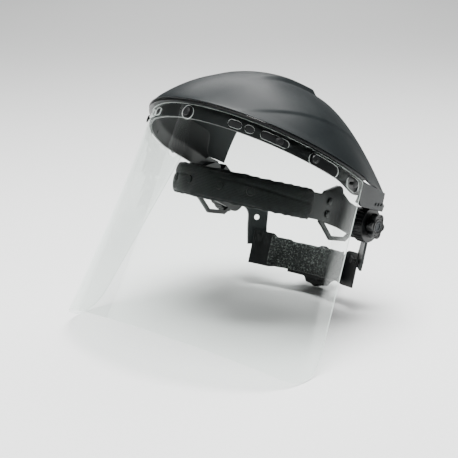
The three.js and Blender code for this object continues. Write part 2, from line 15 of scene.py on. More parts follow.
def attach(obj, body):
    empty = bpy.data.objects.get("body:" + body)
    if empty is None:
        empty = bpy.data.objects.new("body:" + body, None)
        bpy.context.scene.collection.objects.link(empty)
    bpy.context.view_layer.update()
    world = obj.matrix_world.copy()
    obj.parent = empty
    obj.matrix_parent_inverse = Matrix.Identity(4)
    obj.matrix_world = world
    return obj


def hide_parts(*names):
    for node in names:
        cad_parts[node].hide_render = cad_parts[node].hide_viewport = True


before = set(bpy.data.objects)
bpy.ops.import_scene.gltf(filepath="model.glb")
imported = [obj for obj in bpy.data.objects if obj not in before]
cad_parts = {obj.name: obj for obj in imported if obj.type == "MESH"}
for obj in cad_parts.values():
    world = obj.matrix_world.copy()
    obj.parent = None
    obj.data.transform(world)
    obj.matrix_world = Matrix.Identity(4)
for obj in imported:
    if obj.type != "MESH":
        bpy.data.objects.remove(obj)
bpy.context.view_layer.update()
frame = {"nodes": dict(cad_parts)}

bl_info = {
    "name": "Face shield maker",
    "version": (1, 0, 0),
    "blender": (4, 5, 0),
    "location": "View3D > Sidebar > Face shield",
    "description": "Makes the finished pieces of a face shield with a ratchet headgear",
    "category": "Object",
}

# The crown and the headgear stand in the shared frame pitched nose up, with these origins.
STAND_SHIFT = 78.7
CROWN_ORIGIN, CROWN_PITCH = (0.0, -28.0 + STAND_SHIFT, 151.0), math.radians(33.4)
HEADGEAR_ORIGIN, HEADGEAR_PITCH = (0.0, 13.0 + STAND_SHIFT, 97.0), math.radians(19.0)

WINDOW_HEIGHT, WINDOW_THICKNESS, WINDOW_DROP = 203.0, 1.0, 201.3
WINDOW_CORNER = 33.7
HOLE_DROP = 7.2
# Each slot: how far round, how far below the hole, its length and its height.
WINDOW_SLOTS = [(48, 0.0, 13, 7), (61.6, 0.0, 9, 7), (86, 0.0, 28, 7.6), (140, 0.8, 36, 11.4),
                (182, 1.4, 19, 13)]
STUD_PLACES = [0, 90, -90, 128, -128, 183, -183]
LIP_HEIGHT = 3.0
SHELL_THICKNESS = 2.6
RIM_WALL, RIM_DROP, RIM_REACH, RIM_TUCK = 3.0, 12.2, 25.0, 6.3
KNOB_X = (93.8, 101.8)
HUB_X = (82.8, 93.4)
HUB_RADIUS = 17.0
PIVOT_IN_CROWN = (-63.96, -22.5)
# Faces of an ear nearer the middle than this, in metres, are its black hub.
EAR_PLATE_X = 0.0975
SWEAT_LOW, SWEAT_HIGH, SWEAT_END = -9.2, 24.2, 81.0
NAPE_LOW, NAPE_HIGH = -66.0, -30.0
RATCHET_HEIGHT, RATCHET_BACK, RATCHET_DEEP = -54.0, 77.0, 12.0
SIDES = {"left": 1, "right": -1}


# ---- curves and frames ----

def smooth(low, high, value):
    t = np.clip((np.asarray(value, float) - low) / (high - low), 0, 1)
    return t * t * (3 - 2 * t)


class Bow:
    """Half an ellipse in plan, walked by its length from the middle of its closed end."""

    def __init__(self, half_width, depth, centre, sign=-1):
        self.half_width, self.depth, self.centre, self.sign = half_width, depth, centre, sign
        self.angles = np.linspace(0, math.pi / 2, 1201)
        dx = np.diff(half_width * np.sin(self.angles))
        dy = np.diff(depth * np.cos(self.angles))
        self.lengths = np.concatenate([[0], np.cumsum(np.hypot(dx, dy))])
        self.half = self.lengths[-1]

    def at(self, s):
        s = np.asarray(s, float)
        side = np.where(s < 0, -1.0, 1.0)
        angle = np.interp(np.abs(s), self.lengths, self.angles)
        beyond = np.maximum(np.abs(s) - self.half, 0)
        nx, ny = np.sin(angle) / self.half_width, np.cos(angle) / self.depth
        size = np.hypot(nx, ny)
        x = side * self.half_width * np.sin(angle)
        y = self.centre + self.sign * (self.depth * np.cos(angle) - beyond)
        return x, y, side * nx / size, self.sign * ny / size

    def length_at(self, x, y):
        angle = np.arctan2(np.abs(x) / self.half_width, self.sign * (y - self.centre) / self.depth)
        inside = np.interp(np.clip(angle, 0, math.pi / 2), self.angles, self.lengths)
        beyond = np.maximum(-self.sign * (y - self.centre), 0)
        return np.where(x < 0, -1.0, 1.0) * (inside + beyond)

    def place(self, s, z, offset):
        x, y, nx, ny = self.at(s)
        return np.stack([x + nx * offset, y + ny * offset, z + 0 * x], -1)


TOP_BOW = Bow(109.5, 140.5, 0.0)
BOTTOM_BOW = Bow(139.6, 103.7, -8.5)
BAND_BOW = Bow(79.5, 90.5, -60.0)
STRAP_BOW = Bow(78.5, 45.0, 8.0, 1)


def window_place(s, d, offset):
    s, d = np.asarray(s, float), np.asarray(d, float)
    top = TOP_BOW.at(s)
    bottom = BOTTOM_BOW.at(s / TOP_BOW.half * BOTTOM_BOW.half)
    t = d / WINDOW_HEIGHT
    x, y, nx, ny = [a * (1 - t) + b * t for a, b in zip(top, bottom)]
    return np.stack([x + nx * offset, y + ny * offset, -WINDOW_DROP * t + 0 * x], -1)


def turned_up(points, origin, pitch):
    p = np.asarray(points, float)
    y = p[..., 1] * math.cos(pitch) + p[..., 2] * math.sin(pitch)
    z = -p[..., 1] * math.sin(pitch) + p[..., 2] * math.cos(pitch)
    return (np.stack([p[..., 0], y, z], -1) + np.array(origin)) / 1000


def in_crown(points):
    return turned_up(points, CROWN_ORIGIN, CROWN_PITCH)


def in_headgear(points):
    return turned_up(points, HEADGEAR_ORIGIN, HEADGEAR_PITCH)


def headgear_local(rows):
    """Metres in the shared frame back to millimetres in the headgear's frame."""
    p = np.asarray(rows, float) * 1000 - np.array(HEADGEAR_ORIGIN)
    c, s = math.cos(HEADGEAR_PITCH), math.sin(HEADGEAR_PITCH)
    return np.stack([p[..., 0], p[..., 1] * c - p[..., 2] * s, p[..., 1] * s + p[..., 2] * c], -1)


# ---- outlines ----

def circle(radius, centre, count):
    a = np.linspace(0, 2 * math.pi, count, endpoint=False)
    return np.stack([centre[0] + radius * np.cos(a), centre[1] + radius * np.sin(a)], -1)


def capsule(length, height, centre, count=12):
    """A slot longer than it is high, with round ends."""
    r = height / 2
    reach = length / 2 - r
    right = np.linspace(-math.pi / 2, math.pi / 2, count)
    left = np.linspace(math.pi / 2, 3 * math.pi / 2, count)
    x = np.concatenate([reach + r * np.cos(right), -reach + r * np.cos(left)])
    y = np.concatenate([r * np.sin(right), r * np.sin(left)])
    return np.stack([x + centre[0], y + centre[1]], -1)


def rounded(corners, radius, count=6):
    """A polygon with its corners rounded; radius is one number or one for each corner."""
    corners = np.asarray(corners, float)
    radii = np.broadcast_to(radius, len(corners))
    out = []
    for i, corner in enumerate(corners):
        before = corners[i - 1] - corner
        after = corners[(i + 1) % len(corners)] - corner
        before, after = before / np.linalg.norm(before), after / np.linalg.norm(after)
        start, end = corner + before * radii[i], corner + after * radii[i]
        for t in np.linspace(0, 1, count):
            out.append((1 - t) ** 2 * start + 2 * t * (1 - t) * corner + t * t * end)
    return np.array(out)


def enclosed(points, loop):
    """Which points lie inside a closed loop."""
    x, y = points[:, 0], points[:, 1]
    inside = np.zeros(len(points), bool)
    for a, b in zip(loop, np.roll(loop, -1, axis=0)):
        spans = (a[1] > y) != (b[1] > y)
        run = b[1] - a[1] if b[1] != a[1] else 1.0
        inside ^= spans & (x < (b[0] - a[0]) * (y - a[1]) / run + a[0])
    return inside


def divided(loop, longest):
    out = []
    for a, b in zip(loop, np.roll(loop, -1, axis=0)):
        steps = max(1, int(math.ceil(np.linalg.norm(b - a) / longest)))
        out.extend(a + (b - a) * k / steps for k in range(steps))
    return np.array(out)


# ---- meshes ----

def mesh_object(name, points, faces, marks=None):
    """A closed mesh from points in metres, its faces turned outwards."""
    mesh = bpy.data.meshes.new(name)
    mesh.from_pydata([tuple(p) for p in points], [], [tuple(int(i) for i in f) for f in faces])
    if marks is not None:
        mesh.polygons.foreach_set("material_index", np.asarray(marks, np.int32))
    made = bmesh.new()
    made.from_mesh(mesh)
    bmesh.ops.remove_doubles(made, verts=made.verts, dist=2e-6)
    bmesh.ops.dissolve_degenerate(made, edges=made.edges, dist=1e-6)
    bmesh.ops.recalc_face_normals(made, faces=made.faces)
    made.to_mesh(mesh)
    made.free()
    piece = bpy.data.objects.new(name, mesh)
    bpy.context.scene.collection.objects.link(piece)
    return piece


def slab(nu, nv, place):
    """Points and faces of a closed slab, whose two sides are nu by nv."""
    u, v = np.meshgrid(np.linspace(0, 1, nu + 1), np.linspace(0, 1, nv + 1), indexing="ij")
    outer, inner = place(u, v, 0.0).reshape(-1, 3), place(u, v, 1.0).reshape(-1, 3)
    count = len(outer)
    at = np.arange(count).reshape(nu + 1, nv + 1)
    a, b, c, d = at[:-1, :-1].ravel(), at[1:, :-1].ravel(), at[1:, 1:].ravel(), at[:-1, 1:].ravel()
    faces = [*np.stack([a, b, c, d], -1), *(np.stack([d, c, b, a], -1) + count)]
    ring = [*at[:, 0], *at[-1, 1:], *at[-2::-1, -1], *at[0, -2:0:-1]]
    for i, first in enumerate(ring):
        second = ring[(i + 1) % len(ring)]
        faces.append((first, first + count, second + count, second))
    return np.concatenate([outer, inner]), faces


def cut_sheet(name, outline, holes, cell, thickness, place):
    """A sheet cut to an outline with holes, then bent: place takes (a, b, offset). Its sawn walls
    get the second material."""
    loops = [divided(loop, cell) for loop in [outline, *holes]]
    edges, start = [], 0
    for loop in loops:
        edges += [(start + i, start + (i + 1) % len(loop)) for i in range(len(loop))]
        start += len(loop)
    border = np.concatenate(loops)
    tree = kdtree.KDTree(len(border))
    for i, (x, y) in enumerate(border):
        tree.insert((x, y, 0), i)
    tree.balance()
    low, high = border.min(0), border.max(0)
    inside = [
        (x, y)
        for x in np.arange(low[0] + cell / 2, high[0], cell)
        for y in np.arange(low[1] + cell / 2, high[1], cell)
        if tree.find((x, y, 0))[2] > 0.6 * cell
    ]
    points = [Vector((float(x), float(y))) for x, y in [*border, *inside]]
    verts, _, faces, *_ = geometry.delaunay_2d_cdt(points, edges, [], 0, 1e-5)
    flat = np.array([tuple(v) for v in verts])
    middles = flat[np.array(faces)].mean(1)
    in_hole = np.any([enclosed(middles, hole) for hole in holes], axis=0)
    kept = enclosed(middles, outline) & ~in_hole
    faces = [face for face, keep in zip(faces, kept) if keep]
    count = len(flat)
    sides = [place(flat[:, 0], flat[:, 1], offset) for offset in (thickness / 2, -thickness / 2)]
    used = {}
    for face in faces:
        for a, b in zip(face, face[1:] + face[:1]):
            used.setdefault((min(a, b), max(a, b)), []).append((a, b))
    walls = [(a, b) for pairs in used.values() if len(pairs) == 1 for a, b in pairs]
    all_faces = [tuple(f) for f in faces]
    all_faces += [tuple(i + count for i in reversed(f)) for f in faces]
    all_faces += [(b, a, a + count, b + count) for a, b in walls]
    marks = [0] * (2 * len(faces)) + [1] * len(walls)
    loose = np.concatenate(sides)
    keep = sorted({i for f in all_faces for i in f})
    renumber = {old: new for new, old in enumerate(keep)}
    all_faces = [tuple(renumber[i] for i in f) for f in all_faces]
    return mesh_object(name, loose[keep], all_faces, marks)


def turned(profile, sides, lobed=None):
    """Points (along, a, b) and faces of a closed profile of (radius, along) turned about an axis."""
    profile = np.asarray(profile, float)
    theta = np.linspace(0, 2 * math.pi, sides, endpoint=False)
    r = np.repeat(profile[:, 0][None], sides, 0)
    if lobed:
        r = lobed(r, theta[:, None])
    along = np.repeat(profile[:, 1][None], sides, 0)
    points = np.stack([along, r * np.cos(theta)[:, None], r * np.sin(theta)[:, None]], -1)
    n = len(profile)
    faces = []
    for i in range(sides):
        j = (i + 1) % sides
        for k in range(n):
            m = (k + 1) % n
            faces.append((i * n + k, i * n + m, j * n + m, j * n + k))
    return points.reshape(-1, 3), faces


def settle(piece):
    """Turns a piece's modifiers into its mesh."""
    graph = bpy.context.evaluated_depsgraph_get()
    mesh = bpy.data.meshes.new_from_object(piece.evaluated_get(graph), depsgraph=graph)
    piece.modifiers.clear()
    piece.data = mesh
    return piece


def round_edges(piece, radius_mm, angle=50):
    bevel = piece.modifiers.new("Edge radius", "BEVEL")
    bevel.width = radius_mm / 1000
    bevel.segments = 2
    bevel.limit_method = "ANGLE"
    bevel.angle_limit = math.radians(angle)
    bevel.miter_outer = "MITER_ARC"
    bevel.use_clamp_overlap = True
    return settle(piece)


def shade(piece, angle=35):
    piece.data.shade_smooth()
    piece.data.set_sharp_from_angle(angle=math.radians(angle))


def finish_piece(piece, body, nodes, materials, angle=35):
    """Shades the piece, gives it its materials and ties it to its body and CAD nodes."""
    shade(piece, angle)
    if angle < 60:
        # Flat faces keep flat shading right up to their rounded edges.
        flat = piece.modifiers.new("Face weighted normals", "WEIGHTED_NORMAL")
        flat.keep_sharp = True
        settle(piece)
    for material in materials:
        piece.data.materials.append(material)
    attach(piece, body)
    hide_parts(*nodes)
    return piece


def moulded_copy(node, radius_mm):
    """A cleaned copy of a CAD node with its edges rounded as a mould leaves them."""
    made = bmesh.new()
    made.from_mesh(frame["nodes"][node].data)
    bmesh.ops.remove_doubles(made, verts=made.verts, dist=3e-6)
    bmesh.ops.dissolve_limit(made, angle_limit=math.radians(0.6), verts=made.verts, edges=made.edges)
    bmesh.ops.triangulate(made, faces=[f for f in made.faces if len(f.verts) > 4], ngon_method="BEAUTY")
    mesh = bpy.data.meshes.new(node + "_moulded")
    made.to_mesh(mesh)
    made.free()
    piece = bpy.data.objects.new(node + "_moulded", mesh)
    bpy.context.scene.collection.objects.link(piece)
    return round_edges(piece, radius_mm, 30)


def mould(node, radius_mm, body, slot, *keys):
    """Puts a finished moulded copy in a CAD node's place."""
    return finish_piece(moulded_copy(node, radius_mm), body, [node], [finish(key) for key in keys])


def colour_node(node, material):
    """Gives a CAD node that stays its material."""
    mesh = frame["nodes"][node].data
    mesh.materials.clear()
    mesh.materials.append(material)


# ---- Geometry Nodes for what repeats ----

def repeat_tree(name, pivot):
    """A tree that sets a shape on each point, its Z along the point's facing attribute."""
    tree = bpy.data.node_groups.new(name, "GeometryNodeTree")
    sockets = {}
    for label, kind in [("Points", "NodeSocketGeometry"), ("Shape", "NodeSocketObject"),
                        ("Size", "NodeSocketFloat"), ("Finish", "NodeSocketMaterial")]:
        sockets[label] = tree.interface.new_socket(label, in_out="INPUT", socket_type=kind).identifier
    tree.interface.new_socket("Geometry", in_out="OUTPUT", socket_type="NodeSocketGeometry")
    start = add_node(tree, "NodeGroupInput")
    facing = add_node(tree, "GeometryNodeInputNamedAttribute", {"data_type": "FLOAT_VECTOR"},
                      {"Name": "facing"})
    turn = add_node(tree, "FunctionNodeAlignRotationToVector", {"axis": "Z", "pivot_axis": pivot},
                    {"Vector": facing.outputs["Attribute"]})
    shape = add_node(tree, "GeometryNodeObjectInfo", {}, {"Object": start.outputs["Shape"]})
    spread = add_node(tree, "GeometryNodeInstanceOnPoints", {}, {
        "Points": start.outputs["Points"], "Instance": shape.outputs["Geometry"],
        "Rotation": turn.outputs["Rotation"], "Scale": start.outputs["Size"]})
    real = add_node(tree, "GeometryNodeRealizeInstances", {}, {"Geometry": spread.outputs["Instances"]})
    coat = add_node(tree, "GeometryNodeSetMaterial", {}, {
        "Geometry": real.outputs["Geometry"], "Material": start.outputs["Finish"]})
    add_node(tree, "NodeGroupOutput", {}, {"Geometry": coat.outputs["Geometry"]})
    return tree, sockets


def repeat(name, shape, points, facing, material, body, nodes, pivot="AUTO"):
    """Sets copies of shape on points (metres) by a node tree, and makes the result a plain piece."""
    mesh = bpy.data.meshes.new(name)
    mesh.from_pydata([tuple(p) for p in points], [], [])
    attribute = mesh.attributes.new("facing", "FLOAT_VECTOR", "POINT")
    attribute.data.foreach_set("vector", np.asarray(facing, np.float32).ravel())
    piece = bpy.data.objects.new(name, mesh)
    bpy.context.scene.collection.objects.link(piece)
    tree, sockets = repeat_tree(name + " spread", pivot)
    modifier = piece.modifiers.new("Spread", "NODES")
    modifier.node_group = tree
    modifier[sockets["Shape"]] = shape
    modifier[sockets["Size"]] = 1.0
    modifier[sockets["Finish"]] = material
    bpy.context.view_layer.update()
    settle(piece)
    bpy.data.objects.remove(shape)
    shade(piece)
    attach(piece, body)
    if nodes:
        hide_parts(*nodes)
    return piece


def turned_shape(name, profile, sides=28):
    """A shape in metres turned about Z, for the tree to repeat."""
    points, faces = turned(profile, sides)
    return mesh_object(name, points[:, [1, 2, 0]] / 1000, faces)


# ---- materials ----

MADE = {}


def linear(hex_colour):
    value = hex_colour.lstrip("#")
    channels = [int(value[i:i + 2], 16) / 255 for i in (0, 2, 4)]
    return (*[c / 12.92 if c <= 0.04045 else ((c + 0.055) / 1.055) ** 2.4 for c in channels], 1.0)


def add_node(tree, kind, settings=None, inputs=None, stops=None):
    """Adds one node with its settings and colour stops, and fills or links its inputs. A node given
    as an input stands for its first output."""
    node = tree.nodes.new(kind)
    for key, value in (settings or {}).items():
        setattr(node, key, value)
    for key, value in (inputs or {}).items():
        if isinstance(value, bpy.types.Node):
            value = value.outputs[0]
        if isinstance(value, bpy.types.NodeSocket):
            tree.links.new(value, node.inputs[key])
        else:
            node.inputs[key].default_value = value
    if stops:
        band = node.color_ramp.elements
        while len(band) < len(stops):
            band.new(0.5)
        for element, (at, colour) in zip(band, stops):
            element.position = at
            element.color = colour
    return node


def shades(hex_dark, hex_light):
    return [(0.3, linear(hex_dark)), (0.7, linear(hex_light))]


def moulded_plastic(tree, place, dark, light, roughness, grain_mm, depth_mm, specular):
    """Injection-moulded plastic: a spark-eroded grain from the mould breaks up the gloss, and slow
    changes of roughness show where the melt cooled."""
    grain = add_node(tree, "ShaderNodeTexNoise", {}, {
        "Vector": place, "Scale": 1000 / grain_mm, "Detail": 3.0, "Roughness": 0.6})
    cloud = add_node(tree, "ShaderNodeTexNoise", {}, {"Vector": place, "Scale": 38.0, "Detail": 4.0})
    dust = add_node(tree, "ShaderNodeTexNoise", {}, {"Vector": place, "Scale": 420.0, "Detail": 2.0})
    mixed = add_node(tree, "ShaderNodeMath", {"operation": "MULTIPLY_ADD"}, {0: grain, 1: 0.5, 2: cloud})
    halved = add_node(tree, "ShaderNodeMath", {"operation": "MULTIPLY"}, {0: mixed, 1: 0.67})
    colour = add_node(tree, "ShaderNodeValToRGB", {}, {"Fac": halved}, shades(dark, light))
    gloss = add_node(tree, "ShaderNodeMapRange", {}, {
        "Value": cloud, "From Min": 0.25, "From Max": 0.75,
        "To Min": roughness - 0.05, "To Max": roughness + 0.06})
    rough = add_node(tree, "ShaderNodeMath", {"operation": "MULTIPLY_ADD"}, {0: dust, 1: 0.06, 2: gloss})
    bump = add_node(tree, "ShaderNodeBump", {}, {
        "Height": grain, "Strength": 0.6, "Distance": depth_mm / 1000})
    return add_node(tree, "ShaderNodeBsdfPrincipled", {}, {
        "Base Color": colour, "Roughness": rough, "Normal": bump, "IOR": 1.49,
        "Specular IOR Level": specular})


def clear_sheet(tree, place):
    """Extruded polycarbonate, clear and glossy: almost nothing shows face on, and a mirror sheen
    grows where the sheet turns away, with fine wiping marks in its gloss."""
    marks = add_node(tree, "ShaderNodeTexNoise", {}, {"Vector": place, "Scale": 16.0, "Detail": 5.0})
    turn = add_node(tree, "ShaderNodeFresnel", {}, {"IOR": 1.32})
    share = add_node(tree, "ShaderNodeMath", {"operation": "MULTIPLY"}, {0: turn, 1: 0.17})
    rough = add_node(tree, "ShaderNodeMapRange", {}, {
        "Value": marks, "From Min": 0.3, "From Max": 0.7, "To Min": 0.02, "To Max": 0.07})
    through = add_node(tree, "ShaderNodeBsdfTransparent", {}, {"Color": linear("#fafcfb")})
    sheen = add_node(tree, "ShaderNodeBsdfAnisotropic", {}, {"Color": linear("#ffffff"), "Roughness": rough})
    return add_node(tree, "ShaderNodeMixShader", {}, {0: share, 1: through, 2: sheen})


def cut_edge(tree, place):
    """The routed edge of the clear sheet, frosted by the cutter, which gathers light and shows as a
    bright line on dark plastic."""
    chatter = add_node(tree, "ShaderNodeTexNoise", {}, {"Vector": place, "Scale": 900.0, "Detail": 2.0})
    bump = add_node(tree, "ShaderNodeBump", {}, {"Height": chatter, "Strength": 0.3, "Distance": 0.00005})
    colour = add_node(tree, "ShaderNodeValToRGB", {}, {"Fac": chatter}, shades("#d9e2de", "#f6faf8"))
    return add_node(tree, "ShaderNodeBsdfPrincipled", {}, {
        "Base Color": colour, "Normal": bump, "Roughness": 0.32, "Alpha": 0.8, "IOR": 1.585})


def knitted_cloth(tree, place, dark, light, course_mm):
    """Black knitted nylon over foam: rows of loops catch the light as a fine rib, with a soft sheen
    and a little lint. The rib is drawn coarser than the real 0.5 mm so that it shows."""
    along = add_node(tree, "ShaderNodeAttribute", {"attribute_name": "along_band"}).outputs["Vector"]
    scale = 2 * math.pi / 20 / course_mm
    wales = add_node(tree, "ShaderNodeTexWave", {"bands_direction": "X"}, {
        "Vector": along, "Scale": scale, "Distortion": 0.6, "Detail": 1.0})
    courses = add_node(tree, "ShaderNodeTexWave", {"bands_direction": "Y"}, {
        "Vector": along, "Scale": scale * 0.8, "Distortion": 0.6, "Detail": 1.0})
    loops = add_node(tree, "ShaderNodeMath", {"operation": "MULTIPLY"}, {
        0: wales.outputs["Fac"], 1: courses.outputs["Fac"]})
    lint = add_node(tree, "ShaderNodeTexNoise", {}, {"Vector": place, "Scale": 260.0, "Detail": 6.0})
    folds = add_node(tree, "ShaderNodeTexNoise", {}, {"Vector": place, "Scale": 45.0, "Detail": 3.0})
    mixed = add_node(tree, "ShaderNodeMath", {"operation": "MULTIPLY_ADD"}, {0: loops, 1: 0.25, 2: lint})
    colour = add_node(tree, "ShaderNodeValToRGB", {}, {"Fac": mixed}, [
        (0.32, linear(dark)), (0.85, linear(light))])
    height = add_node(tree, "ShaderNodeMath", {"operation": "MULTIPLY_ADD"}, {0: folds, 1: 1.6, 2: loops})
    bump = add_node(tree, "ShaderNodeBump", {}, {"Height": height, "Strength": 0.8, "Distance": 0.0003})
    return add_node(tree, "ShaderNodeBsdfPrincipled", {}, {
        "Base Color": colour, "Normal": bump, "Roughness": 0.86, "Sheen Weight": 0.12,
        "Sheen Roughness": 0.5, "Specular IOR Level": 0.25})


def open_foam(tree, place):
    """Open-cell polyurethane foam, dark grey: torn cells show as a light and dark speckle."""
    cells = add_node(tree, "ShaderNodeTexVoronoi", {}, {"Vector": place, "Scale": 760.0})
    fluff = add_node(tree, "ShaderNodeTexNoise", {}, {
        "Vector": place, "Scale": 520.0, "Detail": 5.0, "Roughness": 0.7})
    patches = add_node(tree, "ShaderNodeTexNoise", {}, {"Vector": place, "Scale": 70.0, "Detail": 3.0})
    mixed = add_node(tree, "ShaderNodeMath", {"operation": "MULTIPLY_ADD"}, {0: patches, 1: 0.12, 2: fluff})
    colour = add_node(tree, "ShaderNodeValToRGB", {}, {"Fac": mixed}, [
        (0.48, linear("#0c0f0f")), (0.6, linear("#262b29")), (0.72, linear("#787e7a"))])
    height = add_node(tree, "ShaderNodeMath", {"operation": "ADD"}, {
        0: cells.outputs["Distance"], 1: fluff})
    bump = add_node(tree, "ShaderNodeBump", {}, {"Height": height, "Strength": 0.9, "Distance": 0.0006})
    return add_node(tree, "ShaderNodeBsdfPrincipled", {}, {
        "Base Color": colour, "Normal": bump, "Roughness": 0.95, "Sheen Weight": 0.3,
        "Specular IOR Level": 0.15})


def turned_steel(tree, place, dark, light):
    """Turned mild steel, plated or blackened: a grey metal whose fine tool rings blur its highlights."""
    rings = add_node(tree, "ShaderNodeTexNoise", {}, {"Vector": place, "Scale": 700.0, "Detail": 4.0})
    rough = add_node(tree, "ShaderNodeMapRange", {}, {
        "Value": rings, "From Min": 0.3, "From Max": 0.7, "To Min": 0.28, "To Max": 0.42})
    colour = add_node(tree, "ShaderNodeValToRGB", {}, {"Fac": rings}, shades(dark, light))
    return add_node(tree, "ShaderNodeBsdfPrincipled", {}, {
        "Base Color": colour, "Roughness": rough, "Metallic": 1.0})


def paper_floor(tree, place):
    """Seamless white background paper, quite matt, with a barely visible fibre."""
    fibre = add_node(tree, "ShaderNodeTexNoise", {}, {"Vector": place, "Scale": 300.0, "Detail": 3.0})
    colour = add_node(tree, "ShaderNodeValToRGB", {}, {"Fac": fibre}, shades("#f4f5f4", "#f8f9f8"))
    return add_node(tree, "ShaderNodeBsdfPrincipled", {}, {
        "Base Color": colour, "Roughness": 0.9, "Specular IOR Level": 0.1})


def finish(key):
    """The object's materials, each made once, on object coordinates."""
    if key in MADE:
        return MADE[key]
    colours, sizes = bpy.context.scene.shield_colours, bpy.context.scene.shield_sizes
    name, make, *values = {
        "crown": ("Dome nylon spark grained", moulded_plastic, colours.crown, "#161b1c", 0.4,
                  sizes.crown_grain, 0.05, 0.3),
        "frame": ("Frame nylon moulded", moulded_plastic, colours.frame, "#0f1112", 0.36, 0.9, 0.03, 0.4),
        "grey": ("Ear acetal moulded grey", moulded_plastic, colours.grey, "#1d2123", 0.42, 0.8, 0.03, 0.5),
        "arm": ("Arm polyethylene dark grey", moulded_plastic, "#1a1e1f", "#242a2b", 0.42, 0.8, 0.03, 0.45),
        "band": ("Band polyethylene moulded", moulded_plastic, colours.band, "#121516", 0.42, 1.0, 0.03,
                 0.4),
        "clear": ("Window polycarbonate extruded", clear_sheet),
        "edge": ("Window polycarbonate routed edge", cut_edge),
        "cloth": ("Brow nylon knitted", knitted_cloth, colours.cloth, "#171b1b", sizes.knit_course),
        "foam": ("Nape polyurethane foam", open_foam),
        "steel": ("Fixings steel zinc plated", turned_steel, "#8b8f92", "#b3b7b9"),
        "black_steel": ("Nuts steel blackened", turned_steel, "#1c1e20", "#34373a"),
        "paper": ("Background paper", paper_floor),
    }[key]
    material = bpy.data.materials.new(name)
    material.use_nodes = True
    tree = material.node_tree
    tree.nodes.clear()
    place = add_node(tree, "ShaderNodeTexCoord").outputs["Object"]
    add_node(tree, "ShaderNodeOutputMaterial", {}, {"Surface": make(tree, place, *values)})
    MADE[key] = material
    return material


# ---- settings ----

class ShieldSizes(bpy.types.PropertyGroup):
    """Sizes of the finish that a user may change."""

    crown_grain: FloatProperty(
        name="Crown grain (mm)", description="Width of the grain on the crown", default=0.7, min=0.2, max=4)
    knit_course: FloatProperty(
        name="Knit rib (mm)", description="Width of a rib in the brow cloth", default=1.1, min=0.3, max=4)
    edge_radius: FloatProperty(
        name="Edge radius (mm)", description="Radius that the mould leaves on plastic edges", default=0.45,
        min=0.1, max=2)
    pad_pressure: FloatProperty(
        name="Padding pressure", description="Pressure that swells the padded pieces", default=4.0, min=0,
        max=12)
    lens: FloatProperty(
        name="Lens (mm)", description="Focal length on a 36 mm sensor", default=97.1, min=20, max=300)
    camera_distance: FloatProperty(
        name="Camera distance", description="From the camera to its target", default=1.1798, unit="LENGTH")
    camera_azimuth: FloatProperty(
        name="Camera azimuth", description="Round from the front towards the wearer's left",
        default=math.radians(39.4), subtype="ANGLE")
    camera_elevation: FloatProperty(
        name="Camera elevation", description="Above the floor", default=math.radians(16.6), subtype="ANGLE")
    camera_target: FloatVectorProperty(
        name="Camera target", description="The point that the camera looks at",
        default=(0.0, -0.0118, 0.0994), subtype="XYZ", unit="LENGTH")


class ShieldColours(bpy.types.PropertyGroup):
    """Colours as sRGB hex values."""

    crown: StringProperty(name="Crown", description="Dark tone of the crown's plastic", default="#0e1315")
    frame: StringProperty(name="Frame", description="Dark tone of the rim and the knobs", default="#090b0c")
    grey: StringProperty(name="Ears", description="Dark tone of the grey ears", default="#15191b")
    band: StringProperty(name="Bands", description="Dark tone of the bands", default="#0b0d0e")
    cloth: StringProperty(
        name="Brow cloth", description="Dark tone of the sweatband's cloth", default="#070909")


# ---- stage ----

def make_floor():
    half = 9.0
    corners = [(-half, -half, 0), (half, -half, 0), (half, half, 0), (-half, half, 0)]
    floor = mesh_object("floor_paper", corners, [(0, 1, 2, 3)])
    floor.data.materials.append(finish("paper"))


def add_light(name, place, target, width, height, power, tint="#ffffff"):
    light = bpy.data.lights.new(name, "AREA")
    light.shape = "RECTANGLE"
    light.size, light.size_y, light.energy = width, height, power
    light.color = linear(tint)[:3]
    lamp = bpy.data.objects.new(name, light)
    bpy.context.scene.collection.objects.link(lamp)
    lamp.location = place
    lamp.rotation_euler = (Vector(target) - Vector(place)).to_track_quat("-Z", "Y").to_euler()


def make_lights():
    world = bpy.data.worlds.new("Studio white")
    bpy.context.scene.world = world
    world.use_nodes = True
    background = next(n for n in world.node_tree.nodes if n.type == "BACKGROUND")
    background.inputs["Color"].default_value = linear("#fbfdfd")
    background.inputs["Strength"].default_value = 0.09
    middle = (0.0, 0.0, 0.12)
    add_light("Overhead softbox", (0.1, -0.2, 1.6), middle, 1.0, 1.0, 84.0)
    add_light("Back softbox", (-0.05, 1.0, 1.36), middle, 0.9, 0.6, 11.0)
    add_light("Front fill", (-1.7, -1.7, 1.0), middle, 1.2, 0.9, 3.0)
    add_light("Background light", (-1.9, 2.4, 1.9), (-1.5, 2.0, 0.0), 1.6, 1.2, 34.0)


def make_camera():
    sizes = bpy.context.scene.shield_sizes
    lens = bpy.data.cameras.new("Camera")
    lens.sensor_width, lens.lens = 36.0, sizes.lens
    lens.clip_start, lens.clip_end = 0.01, 60.0
    camera = bpy.data.objects.new("Camera", lens)
    bpy.context.scene.collection.objects.link(camera)
    az, el = sizes.camera_azimuth, sizes.camera_elevation
    back = Vector((math.sin(az) * math.cos(el), -math.cos(az) * math.cos(el), math.sin(el)))
    camera.location = Vector(sizes.camera_target) + back * sizes.camera_distance
    camera.rotation_euler = (-back).to_track_quat("-Z", "Y").to_euler()
    bpy.context.scene.camera = camera


# ---- crown ----

CROWN_FRONT, CROWN_HALF = 147.0, 114.0
REAR = {"half": 100.5, "low": 9.5, "high": 80.0, "back": 62.0, "rake": 0.83}


